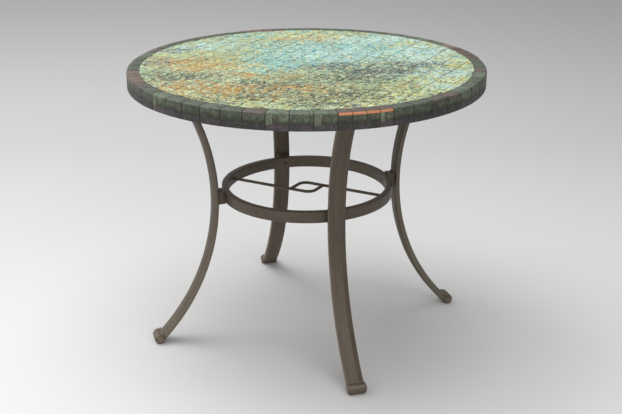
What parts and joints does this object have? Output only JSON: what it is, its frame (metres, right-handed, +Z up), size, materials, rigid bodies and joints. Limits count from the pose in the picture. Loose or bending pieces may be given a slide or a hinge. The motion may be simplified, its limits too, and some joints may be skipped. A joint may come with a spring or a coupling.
{
  "type": "round table",
  "caption": "Round dining table: slate tile top with a tiled slate and copper rim, on bowed flat iron legs with rolled feet, joined by a waist hoop with crossing rods.",
  "frame": {"origin": "on the floor under the middle of the top, on the table's axis", "axes": "+Z up; +X along the rods in the hoop and along one direction of the tile grid; the legs stand at 45 degrees to X"},
  "size_m": [0.9144, 0.9144, 0.73],
  "materials": {
    "field_slate": "honed natural multicolour slate, sealed",
    "rim_slate": "honed grey-green slate with tumbled corners",
    "copper": "copper with a brown patina on top and a bright edge",
    "grout": "matte dark cement grout",
    "core_wood": "sealed board",
    "bronzed_iron": "satin dark bronze paint over hammered iron",
    "fastener_steel": "blackened steel",
    "insert_brass": "plain brass"
  },
  "bodies": {
    "root": {"copper_rim_back_left": "copper", "copper_rim_back_right": "copper", "copper_rim_front_left": "copper", "copper_rim_front_right": "copper", "copper_skirt_back_left": "rim_slate", "copper_skirt_back_right": "rim_slate", "copper_skirt_front_left": "rim_slate", "copper_skirt_front_right": "rim_slate", "core_board": "core_wood", "field_grout": "grout", "field_sheet_back1_left1": "field_slate", "field_sheet_back1_left2": "field_slate", "field_sheet_back1_right1": "field_slate", "field_sheet_back1_right2": "field_slate", "field_sheet_back2_left1": "field_slate", "field_sheet_back2_right1": "field_slate", "field_sheet_front1_left1": "field_slate", "field_sheet_front1_left2": "field_slate", "field_sheet_front1_right1": "field_slate", "field_sheet_front1_right2": "field_slate", "field_sheet_front2_left1": "field_slate", "field_sheet_front2_right1": "field_slate", "hoop": "bronzed_iron", "hoop_screws": "fastener_steel", "leg_back_left": "bronzed_iron", "leg_back_right": "bronzed_iron", "leg_front_left": "bronzed_iron", "leg_front_right": "bronzed_iron", "lug_back_left": "bronzed_iron", "lug_back_right": "bronzed_iron", "lug_front_left": "bronzed_iron", "lug_front_right": "bronzed_iron", "mortar_bed": "grout", "mounting_plate_back_left": "bronzed_iron", "mounting_plate_back_right": "bronzed_iron", "mounting_plate_front_left": "bronzed_iron", "mounting_plate_front_right": "bronzed_iron", "plate_screws": "fastener_steel", "rim_grout": "grout", "rod_left": "bronzed_iron", "rod_right": "bronzed_iron", "slate_rim_back": "rim_slate", "slate_rim_front": "rim_slate", "slate_rim_left": "rim_slate", "slate_rim_right": "rim_slate", "threaded_inserts": "insert_brass"}
  },
  "joints": []
}
